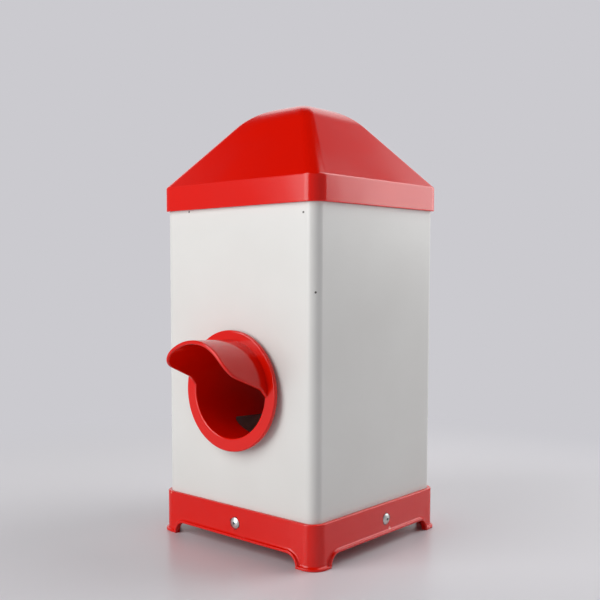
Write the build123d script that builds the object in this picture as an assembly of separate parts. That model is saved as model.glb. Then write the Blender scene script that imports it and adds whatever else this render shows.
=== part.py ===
from build123d import *
from math import cos, hypot, radians, sin, tan
import os

# Square poultry feeder, all lengths in millimetres and angles in degrees.
# +Z is up, the feed port faces -Y, and the origin is the centre of the footprint on the ground.

# Feed tube: a square extrusion with rounded corners
tube_side = 160.0
tube_corner = 8.5
tube_wall = 2.0
tube_length = 275.5
fit_gap = 0.3

# Base moulding: a socket for the tube, a floor panel for the feed and four feet between arches
base_wall = 2.8
base_height = 34.5
deck_height = 13.0
deck_thickness = 2.5
arch_height = 10.0
arch_corner = 9.0
foot_length = 19.6
lip_reach = 2.0
lip_height = 2.2
lip_round = 0.7
lip_root = 1.6
base_rim_round = 0.8

# Lid moulding: a skirt that slips over the tube, under a pyramid roof with a rounded shoulder
lid_wall = 2.5
skirt_height = 19.7
roof_rise = 68.0
roof_slope = 49.4
tip_slope = 13.0
shoulder_radius = 45.0
ridge_corner = 5.0
eave_round = 1.8
hem_round = 0.7

# Feed port: one moulding with a flange outside the wall, a spout inside and a rain hood
port_height = 126.7
port_lean = 2.4
port_turn = 3.0
port_bore = 74.4
port_wall = 3.0
port_seat_gap = 0.1
mouth_round = 1.2
flange_diameter = 95.0
flange_thickness = 2.8
flange_round = 1.2
collar_width = 4.0
collar_height = 2.4
hole_gap = 0.8
spout_depth = 80.0
window_start = 27.0
window_drop = 27.3
window_corner = 4.0
hood_reach = 46.8
hood_start = 0.2
hood_flare = 6.0
hood_flare_slope = 46.0
hood_flare_round = 9.0
hood_slope = 20.3
hood_lean = 4.2
hood_bend_share = 0.342

# Blind rivets through the base and the tube, one on each side, drilled a little off centre
rivet_height = 21.7
rivet_drifts = {"front": 2.0, "right": 8.0, "back": 0.0, "left": 0.0}
rivet_head_diameter = 8.6
rivet_head_height = 1.4
rivet_shank_diameter = 4.0
rivet_hole_gap = 0.2
rivet_bulge_diameter = 5.6
rivet_bulge_length = 3.2
stem_diameter = 2.2
stem_gap = 0.1
stem_recess = 0.9
stem_head_diameter = 3.4
stem_head_length = 1.4

# Sizes that follow from the ones above
socket_side = tube_side + 2 * fit_gap
socket_corner = tube_corner + fit_gap
base_side = socket_side + 2 * base_wall
base_corner = socket_corner + base_wall
lip_side = base_side + 2 * lip_reach
lip_corner = base_corner + lip_reach
arch_span = lip_side - 2 * foot_length
lid_side = socket_side + 2 * lid_wall
lid_corner = socket_corner + lid_wall
tube_top = deck_height + tube_length
bore_radius = port_bore / 2
spout_radius = bore_radius + port_wall
collar_radius = spout_radius + collar_width
flange_radius = flange_diameter / 2
hood_bend = hood_bend_share * hood_reach
rivet_grip = base_wall + fit_gap + tube_wall
rivet_hole_radius = rivet_shank_diameter / 2 + rivet_hole_gap

# The leaning port touches the wall with the top of its collar
collar_seat = collar_radius * tan(radians(port_lean)) + port_seat_gap
flange_back = collar_seat + collar_height
flange_front = flange_back + flange_thickness

# The inside of the roof's slope rests over the tube's top edge
eave_overhang = (lid_side - tube_side) / 2
slope_depth = lid_wall / cos(radians(roof_slope))
eave_height = tube_top + fit_gap + slope_depth - eave_overhang * tan(radians(roof_slope))
skirt_bottom = eave_height - skirt_height


def rounded_block(side, corner, bottom, top):
    """Upright block with rounded corners between two heights."""
    return Pos(0, 0, bottom) * extrude(RectangleRounded(side, side, corner), top - bottom)


def wall_place(side, height):
    """Outward-facing place in the middle of the front wall of a square."""
    return Plane(origin=(0, -side / 2, height), x_dir=(1, 0, 0), z_dir=(0, -1, 0)).location


def rivet_places():
    """Outward-facing places of the rivets on the base's four sides."""
    front = wall_place(base_side, rivet_height)
    drifts = enumerate(rivet_drifts.values())
    return [Rot(0, 0, 90 * turn) * front * Pos(drift, 0, 0) for turn, drift in drifts]


def drill_for_rivets(solid):
    """Cut the four rivet holes."""
    for place in rivet_places():
        solid -= place * Cylinder(rivet_hole_radius, 4 * rivet_grip)
    return solid


def make_tube():
    """Square tube with the hole for the port and the rivet holes."""
    tube = rounded_block(tube_side, tube_corner, deck_height, tube_top)
    tube -= rounded_block(tube_side - 2 * tube_wall, tube_corner - tube_wall, 0, tube_top + tube_wall)
    tube -= wall_place(tube_side, port_height) * Cylinder(spout_radius + hole_gap, 4 * tube_wall)
    return drill_for_rivets(tube)


def arch_prism(plane, grow):
    """Prism through the base with the outline of one arch, widened all round by grow."""
    outline = Rectangle(arch_span + 2 * grow, 2 * (arch_height + grow))
    outline = fillet(outline.vertices(), arch_corner + grow)
    return extrude(plane * outline, lip_side, both=True)


def outline_gap(point, side, corner):
    """How far a point lies outside the upright outline of a rounded square."""
    across = max(abs(point.X) - side / 2 + corner, 0)
    along = max(abs(point.Y) - side / 2 + corner, 0)
    if across and along:
        return hypot(across, along) - corner
    return max(abs(point.X), abs(point.Y)) - side / 2


def low_edges(solid, side, corner):
    """Edges below the lip's top that run along the outline of a rounded square."""
    found = []
    for edge in solid.edges():
        points = [edge @ position for position in (0, 0.3, 0.5, 0.8, 1)]
        flat_end = side / 2 - corner
        upright = abs(points[0].Z - points[-1].Z) > 0.99 * edge.length
        beside_corner = min(abs(abs(points[0].X) - flat_end), abs(abs(points[0].Y) - flat_end)) < 0.01
        on_outline = all(abs(outline_gap(point, side, corner)) < 0.01 for point in points)
        below = edge.bounding_box().max.Z < arch_height + lip_height + 0.1
        if on_outline and below and not (upright and beside_corner):
            found.append(edge)
    return found


def make_base():
    """Socket, floor panel and feet in one moulding, with a lip round the feet and arches."""
    base = rounded_block(base_side, base_corner, 0, base_height)
    lip_ring = rounded_block(lip_side, lip_corner, 0, arch_height + lip_height)
    low_band = Pos(0, 0, lip_height / 2) * Box(lip_side, lip_side, lip_height)
    base += lip_ring & (low_band + arch_prism(Plane.XZ, lip_height) + arch_prism(Plane.YZ, lip_height))
    base -= rounded_block(socket_side, socket_corner, deck_height, base_height + 1)
    base -= rounded_block(socket_side, socket_corner, -1, deck_height - deck_thickness)
    base -= arch_prism(Plane.XZ, 0) + arch_prism(Plane.YZ, 0)
    base = fillet(low_edges(base, lip_side, lip_corner), lip_round)
    base = fillet(low_edges(base, base_side, base_corner), lip_root)
    rim = base.faces().sort_by(Axis.Z)[-1].outer_wire().edges()
    base = fillet(rim, base_rim_round)
    return drill_for_rivets(base)


def roof_levels(inset):
    """Half width and height of each level of the roof, for a skin set in by inset."""
    slope, tip = radians(roof_slope), radians(tip_slope)
    half, apex = lid_side / 2, eave_height + roof_rise
    meeting_half = (roof_rise - half * tan(slope)) / (tan(tip) - tan(slope))
    meeting_height = apex - meeting_half * tan(tip)
    run = shoulder_radius * tan((slope - tip) / 2)
    centre_half = meeting_half + run * cos(slope) - shoulder_radius * sin(slope)
    centre_height = meeting_height - run * sin(slope) - shoulder_radius * cos(slope)
    radius = shoulder_radius - inset
    steps = 7
    angles = [slope + (tip - slope) * step / steps for step in range(steps + 1)]
    arc = [(centre_half + radius * sin(angle), centre_height + radius * cos(angle)) for angle in angles]
    eave = (half - inset, arc[0][1] - (half - inset - arc[0][0]) * tan(slope))
    return [eave] + arc, arc[-1][1] + arc[-1][0] * tan(tip)


def roof_section(level, inset):
    """Rounded square at one level, with corners that tighten towards the tip."""
    half, height = level
    corner = ridge_corner + (lid_corner - ridge_corner) * half / (lid_side / 2) - inset
    return Pos(0, 0, height) * RectangleRounded(2 * half, 2 * half, corner)


def roof_block(inset):
    """Solid roof: straight slopes, a rounded shoulder and a low tip."""
    levels, apex = roof_levels(inset)
    sections = [roof_section(level, inset) for level in levels]
    slopes = loft(sections[:2], ruled=True)
    shoulder = loft(sections[1:])
    tip = loft([sections[-1], Vertex(0, 0, apex)], ruled=True)
    return slopes + shoulder + tip


def make_lid():
    """Thin-walled cap that slips over the tube and rests on its top edge."""
    levels, _ = roof_levels(lid_wall)
    inner_eave = levels[0][1]
    outside = rounded_block(lid_side, lid_corner, skirt_bottom, eave_height) + roof_block(0)
    eave = outside.edges().filter_by_position(Axis.Z, eave_height - 0.01, eave_height + 0.01)
    outside = fillet(eave, eave_round)
    hem = outside.edges().filter_by_position(Axis.Z, skirt_bottom - 0.01, skirt_bottom + 0.01)
    outside = fillet(hem, hem_round)
    inside = rounded_block(socket_side, socket_corner, skirt_bottom - 1, inner_eave) + roof_block(lid_wall)
    return outside - inside


def port_place():
    """Where the port sits: in the front wall, leaning back a little and turned in its hole."""
    outward = (0, -cos(radians(port_lean)), sin(radians(port_lean)))
    wall = Plane(origin=(0, -tube_side / 2, port_height), x_dir=(1, 0, 0), z_dir=outward)
    return wall.location * Rot(0, 0, -port_turn)


def port_body():
    """Spout, collar and flange turned about the port's axis, with the seam at the bottom."""
    corners = [
        (bore_radius, -spout_depth),
        (spout_radius, -spout_depth),
        (spout_radius, collar_seat),
        (collar_radius, collar_seat),
        (collar_radius, flange_back),
        (flange_radius, flange_back),
        (flange_radius, flange_front),
        (bore_radius, flange_front),
    ]
    profile = make_face(Polyline(*corners, close=True))
    rim = profile.vertices().group_by(Axis.Y)[-1].sort_by(Axis.X)[-1]
    profile = fillet(rim, flange_round)
    return Rot(0, 0, -90) * revolve(Plane.XZ * profile, Axis.Z)


def spout_window():
    """Block that opens the floor of the spout, so that the feed can rise into it."""
    length = 2 * (spout_depth - window_start)
    block = Box(3 * spout_radius, spout_radius, length, align=(Align.CENTER, Align.MAX, Align.MAX))
    block = fillet(block.edges().filter_by(Axis.X), window_corner)
    return Pos(0, -window_drop, -window_start) * block


def port_hood():
    """Half tube over the mouth, trimmed to a visor that sweeps back and flares into the flange."""
    slope, lean = tan(radians(hood_slope)), tan(radians(hood_lean))
    crown = spout_radius
    knee_reach = flange_front + hood_flare
    knee_height = hood_start + hood_flare * tan(radians(hood_flare_slope))
    bend_height = (knee_height + (hood_reach + crown * lean - knee_reach) * slope) / (1 + lean * slope)
    bend_reach = hood_reach + (crown - bend_height) * lean
    corners = [
        (hood_start, flange_front),
        (knee_height, knee_reach),
        (bend_height, bend_reach),
        (crown, hood_reach),
        (crown + hood_bend, hood_reach),
        (crown + hood_bend, flange_front),
    ]
    outline = make_face(Polyline(*corners, close=True))
    for corner, radius in (corners[1], hood_flare_round), (corners[2], hood_bend):
        outline = fillet(outline.vertices().sort_by_distance(corner)[0], radius)
    side_block = extrude(Plane.YZ * outline, spout_radius + 1, both=True)
    tube = extrude(Circle(spout_radius) - Circle(bore_radius), hood_reach + crown)
    return Rot(0, 0, -90) * tube & side_block


def mouth_edges(port):
    """Edges of the visor's inner and outer skin, and of the mouth below it."""
    found = []
    for edge in port.edges():
        points = [edge @ position for position in (0, 0.3, 0.5, 0.7, 1)]
        distances = [hypot(point.X, point.Y) for point in points]
        on_bore = all(abs(distance - bore_radius) < 0.05 for distance in distances)
        on_skin = all(abs(distance - spout_radius) < 0.05 for distance in distances)
        lowest = min(point.Z for point in points)
        highest = max(point.Z for point in points)
        if (on_bore or on_skin) and highest > flange_front + 0.1 or on_bore and lowest > flange_front - 0.01:
            found.append(edge)
    return found


def make_feed_port():
    """Flange, spout and rain hood in one moulding."""
    port = port_body() + port_hood()
    port = fillet(mouth_edges(port), mouth_round)
    return port_place() * (port - spout_window())


def make_rivet():
    """Set blind rivet, with its head's underside at height zero."""
    head, shank = rivet_head_diameter / 2, rivet_shank_diameter / 2
    dome_radius = (head**2 + rivet_head_height**2) / (2 * rivet_head_height)
    tail = -rivet_grip - rivet_bulge_length
    widest = (rivet_bulge_diameter / 2, (tail - rivet_grip) / 2)
    outline = [
        RadiusArc((0, rivet_head_height), (head, 0), dome_radius),
        Polyline((head, 0), (shank, 0), (shank, -rivet_grip)),
        ThreePointArc((shank, -rivet_grip), widest, (shank, tail)),
        Polyline((shank, tail), (0, tail), (0, rivet_head_height)),
    ]
    turned = revolve(Plane.XZ * make_face(Curve() + outline), Axis.Z)
    return turned - Cylinder(stem_diameter / 2 + stem_gap, 4 * (rivet_grip + rivet_bulge_length))


def make_stem():
    """Broken stem that stays inside a set blind rivet, with its head at the blind end."""
    tail = -rivet_grip - rivet_bulge_length
    top = rivet_head_height - stem_recess
    shaft = Pos(0, 0, (top + tail) / 2) * Cylinder(stem_diameter / 2, top - tail)
    head = Pos(0, 0, tail - stem_head_length / 2) * Cylinder(stem_head_diameter / 2, stem_head_length)
    return shaft + head


def make_parts():
    """All pieces by name, before they are moved to the origin."""
    return {
        "tube": make_tube(),
        "base": make_base(),
        "lid": make_lid(),
        "feed_port": make_feed_port(),
        "rivets": Compound([place * make_rivet() for place in rivet_places()]),
        "rivet_stems": Compound([place * make_stem() for place in rivet_places()]),
    }


def main():
    parts = make_parts()
    footprint = Compound(list(parts.values())).bounding_box()
    to_origin = Pos(0, -(footprint.min.Y + footprint.max.Y) / 2, 0)
    os.makedirs("parts", exist_ok=True)
    for name, part in parts.items():
        export_step(to_origin * part, f"parts/{name}.step")


main()
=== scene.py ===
"""Looks for the square poultry feeder: plastics, metals, wear, camera and a plain studio.

The feeder is a white extruded tube between a red footed base and a red pyramid lid. One hooded
feed port passes through its front wall, and a blind rivet holds the base on each side. Lengths
are in metres in the part's own frame: +Z up, the port faces -Y, the ground is at zero.
"""

import logging
import math
from abc import ABC, abstractmethod
from dataclasses import dataclass, field
from enum import Enum

import bmesh
import bpy
from mathutils import Matrix, Vector

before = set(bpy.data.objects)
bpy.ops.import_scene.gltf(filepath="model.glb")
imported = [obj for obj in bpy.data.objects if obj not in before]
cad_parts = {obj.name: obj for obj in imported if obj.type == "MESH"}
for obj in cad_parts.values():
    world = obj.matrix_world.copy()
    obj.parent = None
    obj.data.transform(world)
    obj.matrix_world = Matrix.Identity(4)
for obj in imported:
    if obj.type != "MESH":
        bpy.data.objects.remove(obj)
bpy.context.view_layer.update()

MM = 0.001
LOG = logging.getLogger("feeder")

Colour = tuple[float, float, float, float]
Point = tuple[float, float, float]


def srgb(code: str) -> Colour:
    """Turns an sRGB hex colour into the linear one that Blender works in.

    Args:
        code: six hex digits after a hash sign.

    Returns:
        Linear red, green, blue and an alpha of one.
    """
    parts = [int(code[start : start + 2], 16) / 255 for start in (1, 3, 5)]
    red, green, blue = (c / 12.92 if c <= 0.04045 else ((c + 0.055) / 1.055) ** 2.4 for c in parts)
    return red, green, blue, 1.0


def per_mm(size: float) -> float:
    """Texture scale at which one cell of a pattern is this many millimetres."""
    return 1 / (size * MM)


def add_node(tree: bpy.types.NodeTree, kind: str, feeds: dict | None = None, **settings: object) -> bpy.types.Node:
    """Adds a shader node with its settings, values and links.

    Args:
        tree: the node tree that takes the node.
        kind: the node's type, without the words ShaderNode.
        feeds: for each input, by name or number, a value or the socket that drives it.
        settings: the node's own properties.

    Returns:
        The new node.
    """
    node = tree.nodes.new("ShaderNode" + kind)
    for name, value in settings.items():
        setattr(node, name, value)
    for key, value in (feeds or {}).items():
        if isinstance(value, bpy.types.NodeSocket):
            tree.links.new(value, node.inputs[key])
        else:
            node.inputs[key].default_value = value
    return node


class Slot(Enum):
    """The record's material slots."""

    TUBE = "white_plastic"
    BASE = "red_base"
    LID = "red_lid"
    PORT = "red_port"
    RIVET = "rivet_aluminium"
    STEM = "stem_steel"


@dataclass(frozen=True)
class Mark:
    """A small spot on a surface, such as a flaw, a painted highlight or painted shade: where it lies, how far it
    reaches and how strong it is.
    """

    centre_mm: Point
    reach_mm: Point
    strength: float = 1.0


@dataclass(frozen=True)
class Finish(ABC):
    """What a surface is made of and how it was made."""

    name: str

    @abstractmethod
    def shade(self, tree: bpy.types.NodeTree, place: bpy.types.NodeSocket) -> dict:
        """Builds the finish's patterns.

        Args:
            tree: the material's node tree.
            place: the piece's Object coordinates.

        Returns:
            What goes into each socket of the Principled shader.
        """

    def material(self) -> bpy.types.Material:
        """Builds the material.

        Returns:
            A new material with the finish's node tree.
        """
        material = bpy.data.materials.new(self.name)
        material.use_nodes = True
        tree = material.node_tree
        tree.nodes.clear()
        place = add_node(tree, "TexCoord").outputs["Object"]
        shader = add_node(tree, "BsdfPrincipled", self.shade(tree, place))
        add_node(tree, "OutputMaterial", {"Surface": shader.outputs[0]})
        return material


def marked(tree: bpy.types.NodeTree, place: bpy.types.NodeSocket, marks: tuple[Mark, ...], ragged_mm: float):
    """Mask that is one on the marks and zero elsewhere, with a ragged edge.

    Args:
        tree: the material's node tree.
        place: Object coordinates.
        marks: the spots, which are flaws, painted highlights or painted shade.
        ragged_mm: size of the raggedness of their edges.

    Returns:
        The mask's socket.
    """
    rough = add_node(tree, "TexNoise", {"Vector": place, "Scale": per_mm(ragged_mm), "Detail": 2.0})
    total = None
    for mark in marks:
        centre = [value * MM for value in mark.centre_mm]
        reach = [value * MM for value in mark.reach_mm]
        offset = add_node(tree, "VectorMath", {0: place, 1: centre}, operation="SUBTRACT")
        scaled = add_node(tree, "VectorMath", {0: offset.outputs[0], 1: reach}, operation="DIVIDE")
        length = add_node(tree, "VectorMath", {0: scaled.outputs[0]}, operation="LENGTH")
        worn = add_node(tree, "Math", {0: length.outputs["Value"], 1: rough.outputs["Fac"]}, operation="ADD")
        limits = {"Value": worn.outputs[0], 1: 1.55, 2: 1.35, 3: 0.0, 4: mark.strength}
        spot = add_node(tree, "MapRange", limits).outputs["Result"]
        if total is None:
            total = spot
        else:
            total = add_node(tree, "Math", {0: total, 1: spot}, operation="MAXIMUM").outputs[0]
    return total


@dataclass(frozen=True)
class ExtrudedVinyl(Finish):
    """White rigid vinyl from an extruder: satin, with faint die lines along its length."""

    colour: str = "#E4E4E0"
    shade_colour: str = "#DAD9D4"
    speck_colour: str = "#4A4642"
    roughness: float = 0.34
    patch_mm: float = 70.0
    die_line_mm: float = 1.6
    die_line_length_mm: float = 500.0
    die_line_depth_mm: float = 0.012
    specks: tuple[Mark, ...] = ()

    def shade(self, tree: bpy.types.NodeTree, place: bpy.types.NodeSocket) -> dict:
        """Cloudy white with lines drawn along the extrusion and a few specks of dirt."""
        cloud = add_node(tree, "TexNoise", {"Vector": place, "Scale": per_mm(self.patch_mm), "Detail": 3.0})
        white = add_node(
            tree,
            "Mix",
            {"Factor": cloud.outputs["Fac"], 6: srgb(self.colour), 7: srgb(self.shade_colour)},
            data_type="RGBA",
        )
        stretch = (1.0, 1.0, self.die_line_mm / self.die_line_length_mm)
        along = add_node(tree, "Mapping", {"Vector": place, "Scale": stretch})
        lines = add_node(tree, "TexNoise", {"Vector": along.outputs[0], "Scale": per_mm(self.die_line_mm)})
        specks = marked(tree, place, self.specks, 0.8)
        colour = add_node(
            tree, "Mix", {"Factor": specks, 6: white.outputs[2], 7: srgb(self.speck_colour)}, data_type="RGBA"
        )
        rough_range = {"Value": lines.outputs["Fac"], 1: 0.3, 2: 0.7, 3: self.roughness - 0.05, 4: self.roughness + 0.05}
        rough = add_node(tree, "MapRange", rough_range)
        depth = self.die_line_depth_mm * MM
        bump = add_node(tree, "Bump", {"Height": lines.outputs["Fac"], "Strength": 1.0, "Distance": depth})
        return {
            "Base Color": colour.outputs[2],
            "Roughness": rough.outputs["Result"],
            "IOR": 1.53,
            "Normal": bump.outputs[0],
        }


@dataclass(frozen=True)
class MouldedPolypropylene(Finish):
    """Glossy red polypropylene from a polished mould, with faint flow marks and handling scratches."""

    colour: str = "#E41200"
    flow_colour: str = "#D80E00"
    # Pale colour of the scuffs, and of a painted highlight on the base.
    scuff_and_highlight_colour: str = "#F08A78"
    # Dark red of the painted shade rings around the rivet heads.
    grime_colour: str = "#3A0403"
    roughness: float = 0.15
    flow_mm: float = 45.0
    ripple_mm: float = 34.0
    ripple_depth_mm: float = 0.1
    scratch_mm: float = 9.0
    scratch_depth_mm: float = 0.01
    scuffs: tuple[Mark, ...] = ()
    grime: tuple[Mark, ...] = ()

    def shade(self, tree: bpy.types.NodeTree, place: bpy.types.NodeSocket) -> dict:
        """Red with flow marks, a rippling gloss, hairline scratches, pale scuffs, painted highlights and dark rings
        of painted shade.
        """
        flow = add_node(tree, "TexNoise", {"Vector": place, "Scale": per_mm(self.flow_mm), "Detail": 2.0})
        red = add_node(
            tree,
            "Mix",
            {"Factor": flow.outputs["Fac"], 6: srgb(self.colour), 7: srgb(self.flow_colour)},
            data_type="RGBA",
        ).outputs[2]
        # Pale marks are scuffs and painted highlights; dark marks are painted shade around the rivet heads.
        for marks, colour, ragged in ((self.scuffs, self.scuff_and_highlight_colour, 0.7), (self.grime, self.grime_colour, 1.5)):
            if marks:
                mask = marked(tree, place, marks, ragged)
                red = add_node(tree, "Mix", {"Factor": mask, 6: red, 7: srgb(colour)}, data_type="RGBA").outputs[2]
        ripple = add_node(tree, "TexNoise", {"Vector": place, "Scale": per_mm(self.ripple_mm), "Detail": 1.0})
        cells = add_node(
            tree, "TexVoronoi", {"Vector": place, "Scale": per_mm(self.scratch_mm)}, feature="DISTANCE_TO_EDGE"
        )
        scratch = add_node(tree, "MapRange", {"Value": cells.outputs["Distance"], 1: 0.0, 2: 0.012, 3: 0.0, 4: 1.0})
        wave = add_node(
            tree,
            "Bump",
            {"Height": ripple.outputs["Fac"], "Strength": 1.0, "Distance": self.ripple_depth_mm * MM},
        )
        rough = add_node(
            tree,
            "MapRange",
            {"Value": flow.outputs["Fac"], 1: 0.3, 2: 0.7, 3: self.roughness - 0.03, 4: self.roughness + 0.03},
        )
        return {
            "Base Color": red,
            "Roughness": rough.outputs["Result"],
            "IOR": 1.49,
            "Normal": wave.outputs[0],
        }


@dataclass(frozen=True)
class TurnedMetal(Finish):
    """Bare metal of a fastener: pressed, slightly stained and dull."""

    colour: str = "#E6E6E4"
    stain_colour: str = "#A9A8A4"
    roughness: float = 0.38
    stain_mm: float = 1.6

    def shade(self, tree: bpy.types.NodeTree, place: bpy.types.NodeSocket) -> dict:
        """Metal with dull stains."""
        stain = add_node(tree, "TexNoise", {"Vector": place, "Scale": per_mm(self.stain_mm), "Detail": 3.0})
        mask = add_node(tree, "MapRange", {"Value": stain.outputs["Fac"], 1: 0.45, 2: 0.75, 3: 0.0, 4: 0.8})
        colour = add_node(
            tree,
            "Mix",
            {"Factor": mask.outputs["Result"], 6: srgb(self.colour), 7: srgb(self.stain_colour)},
            data_type="RGBA",
        )
        rough = add_node(
            tree,
            "MapRange",
            {"Value": stain.outputs["Fac"], 1: 0.3, 2: 0.8, 3: self.roughness - 0.06, 4: self.roughness + 0.14},
        )
        return {"Base Color": colour.outputs[2], "Roughness": rough.outputs["Result"], "Metallic": 1.0}


@dataclass
class PackedPiece:
    """A piece that stays as packed and takes a finish."""

    node: str
    finish: Finish

    def dress(self) -> None:
        """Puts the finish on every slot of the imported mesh."""
        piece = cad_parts[self.node]
        material = self.finish.material()
        if not piece.data.materials:
            piece.data.materials.append(material)
        for number in range(len(piece.data.materials)):
            piece.data.materials[number] = material
        LOG.info("%s: %s, %d faces", self.node, self.finish.name, len(piece.data.polygons))


@dataclass
class Feeder:
    """The whole feeder, piece by piece."""

    tube_specks: tuple[Mark, ...] = (
        Mark((68.5, -59.6, 262.4), (0.9, 0.9, 0.9)),
        Mark((-51.4, -59.6, 268.4), (0.8, 0.8, 1.0)),
        Mark((77.9, -56.6, 204.6), (0.9, 0.9, 0.9)),
    )
    base_scuffs: tuple[Mark, ...] = (
        # A real nick below the right rivet.
        Mark((83.1, 33.0, 12.5), (1.0, 1.5, 2.6)),
        # Painted highlight near the top of the base's left corner, not a scuff.
        Mark((-72.7, -62.7, 33.2), (0.9, 0.9, 0.9)),
    )
    # Painted shade: a dark ring around each rivet head, where the head meets the base.
    base_grime: tuple[Mark, ...] = (
        Mark((83.1, 28.4, 21.7), (2.0, 5.2, 5.2)),
        Mark((2.0, -62.7, 21.7), (5.2, 2.0, 5.2)),
    )
    lid_scuffs: tuple[Mark, ...] = (Mark((73.4, -42.3, 305.7), (0.8, 0.8, 0.8)),)

    def dress(self) -> None:
        """Dresses the pieces in the order in which the feeder goes together."""
        red = MouldedPolypropylene
        PackedPiece("base", red("red polypropylene, base", scuffs=self.base_scuffs, grime=self.base_grime)).dress()
        PackedPiece("tube", ExtrudedVinyl("white extruded vinyl", specks=self.tube_specks)).dress()
        PackedPiece("feed_port", red("red polypropylene, feed port")).dress()
        PackedPiece("lid", red("red polypropylene, lid", scuffs=self.lid_scuffs)).dress()
        PackedPiece("rivets", TurnedMetal("aluminium rivet")).dress()
        steel = TurnedMetal("steel rivet stem", colour="#5E6064", stain_colour="#2E2C2A", roughness=0.45)
        PackedPiece("rivet_stems", steel).dress()


@dataclass(frozen=True)
class Softbox:
    """A rectangular softbox that looks at the feeder.

    Azimuth is measured from +X towards +Y, and elevation above the ground, in degrees.
    """

    name: str
    azimuth: float
    elevation: float
    width: float
    height: float
    radiance: float
    distance: float = 1.3
    roll: float = 0.0

    def build(self, target: Vector) -> None:
        """Makes the lamp.

        Args:
            target: the point that the softbox faces.
        """
        turn, rise = math.radians(self.azimuth), math.radians(self.elevation)
        outward = Vector((math.cos(turn) * math.cos(rise), math.sin(turn) * math.cos(rise), math.sin(rise)))
        lamp = bpy.data.lights.new(self.name, "AREA")
        lamp.shape = "RECTANGLE"
        lamp.size = self.width
        lamp.size_y = self.height
        lamp.energy = self.radiance * math.pi * self.width * self.height
        holder = bpy.data.objects.new(self.name, lamp)
        holder.location = target + outward * self.distance
        aim = outward.to_track_quat("Z", "Y").to_matrix() @ Matrix.Rotation(math.radians(self.roll), 3, "Z")
        holder.rotation_euler = aim.to_euler()
        holder.visible_camera = False
        bpy.context.scene.collection.objects.link(holder)
        LOG.info("%s: softbox at azimuth %.0f", self.name, self.azimuth)


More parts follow.
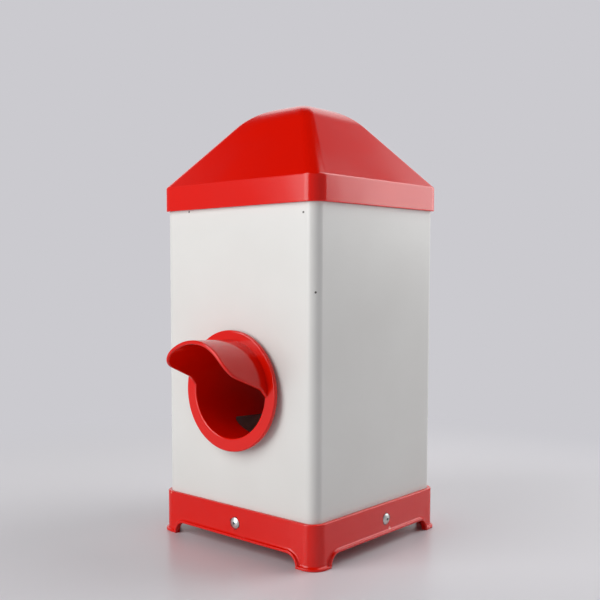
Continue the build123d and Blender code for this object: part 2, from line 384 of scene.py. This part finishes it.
@dataclass
class Studio:
    """A pale floor that melts into a lit backdrop, two softboxes and a dark ceiling."""

    backdrop: str = "#CBCACF"
    floor: str = "#CFCDD1"
    ceiling_level: float = 0.02
    wall_level: float = 0.45
    wall_top: tuple[float, float] = (0.62, 0.74)
    floor_radius: float = 2.5
    fade: tuple[float, float] = (0.28, 0.62)
    floor_roughness: float = 0.3
    softboxes: tuple[Softbox, ...] = (
        Softbox("front_softbox", -109.0, 25.0, 0.8, 1.5, 4.0),
        Softbox("side_softbox", 57.0, 38.0, 0.6, 1.3, 3.4, 1.0, 15.0),
        Softbox("backdrop_panel", 127.0, 18.0, 2.6, 1.5, 0.7, 1.7),
    )
    target: Vector = field(default_factory=lambda: Vector((0, 0, 0.17)))

    def build(self) -> None:
        """Builds the floor, the lamps and the world."""
        self.lay_floor()
        for softbox in self.softboxes:
            softbox.build(self.target)
        self.light_walls()

    def lay_floor(self) -> None:
        """Lays a round floor whose colour fades into the backdrop's."""
        shape = bmesh.new()
        bmesh.ops.create_circle(shape, cap_ends=True, segments=96, radius=self.floor_radius)
        mesh = bpy.data.meshes.new("studio_floor")
        shape.to_mesh(mesh)
        shape.free()
        floor = bpy.data.objects.new("studio_floor", mesh)
        bpy.context.scene.collection.objects.link(floor)
        mesh.materials.append(self.floor_material())

    def floor_material(self) -> bpy.types.Material:
        """Builds the satin floor sheet.

        Returns:
            The floor's material.
        """
        material = bpy.data.materials.new("satin floor sheet")
        material.use_nodes = True
        tree = material.node_tree
        tree.nodes.clear()
        place = add_node(tree, "TexCoord").outputs["Object"]
        length = add_node(tree, "VectorMath", {0: place}, operation="LENGTH")
        fade = add_node(
            tree,
            "MapRange",
            {"Value": length.outputs["Value"], 1: self.fade[0], 2: self.fade[1], 3: 0.0, 4: 1.0},
            interpolation_type="SMOOTHSTEP",
        )
        sheet = add_node(
            tree,
            "BsdfPrincipled",
            {"Base Color": srgb(self.floor), "Roughness": self.floor_roughness, "IOR": 1.45},
        )
        glow = add_node(tree, "Emission", {"Color": srgb(self.backdrop), "Strength": 1.0})
        blend = add_node(tree, "MixShader", {0: fade.outputs["Result"], 1: sheet.outputs[0], 2: glow.outputs[0]})
        add_node(tree, "OutputMaterial", {"Surface": blend.outputs[0]})
        return material

    def light_walls(self) -> None:
        """Lights the object from pale walls under a dark ceiling, and shows the plain backdrop."""
        world = bpy.data.worlds.new("studio")
        world.use_nodes = True
        tree = world.node_tree
        tree.nodes.clear()
        direction = add_node(tree, "TexCoord").outputs["Generated"]
        height = add_node(tree, "SeparateXYZ", {0: direction}).outputs["Z"]
        low, high = self.wall_top
        level = add_node(
            tree,
            "MapRange",
            {"Value": height, 1: low, 2: high, 3: self.wall_level, 4: self.ceiling_level},
            interpolation_type="SMOOTHSTEP",
        )
        walls = add_node(tree, "Background", {"Color": srgb(self.backdrop), "Strength": level.outputs["Result"]})
        plain = add_node(tree, "Background", {"Color": srgb(self.backdrop), "Strength": 1.0})
        seen = add_node(tree, "LightPath").outputs["Is Camera Ray"]
        blend = add_node(tree, "MixShader", {0: seen, 1: walls.outputs[0], 2: plain.outputs[0]})
        add_node(tree, "OutputWorld", {"Surface": blend.outputs[0]})
        bpy.context.scene.world = world


@dataclass(frozen=True)
class Viewpoint:
    """The camera, as it stood for the photograph."""

    place: Point = (0.4691, -0.5480, 0.2185)
    azimuth: float = 43.51
    dip: float = 4.22
    roll: float = -0.17
    lens: float = 52.1
    sensor: float = 36.0
    shift: tuple[float, float] = (0.1, 0.0623)

    def build(self) -> None:
        """Makes the camera and hands it to the scene."""
        data = bpy.data.cameras.new("camera")
        data.sensor_width = self.sensor
        data.lens = self.lens
        data.shift_x, data.shift_y = self.shift
        data.clip_start, data.clip_end = 0.02, 20.0
        camera = bpy.data.objects.new("camera", data)
        turn = Matrix.Rotation(math.radians(self.azimuth), 4, "Z")
        tilt = Matrix.Rotation(math.radians(90 - self.dip), 4, "X")
        roll = Matrix.Rotation(math.radians(self.roll), 4, "Z")
        camera.matrix_world = Matrix.Translation(self.place) @ turn @ tilt @ roll
        bpy.context.scene.collection.objects.link(camera)
        bpy.context.scene.camera = camera


def main() -> None:
    """Dresses the feeder and sets up the studio."""
    logging.basicConfig(level=logging.INFO)
    Feeder().dress()
    Studio().build()
    Viewpoint().build()
    bpy.context.scene.view_settings.view_transform = "Standard"


if __name__ == "__main__":
    main()
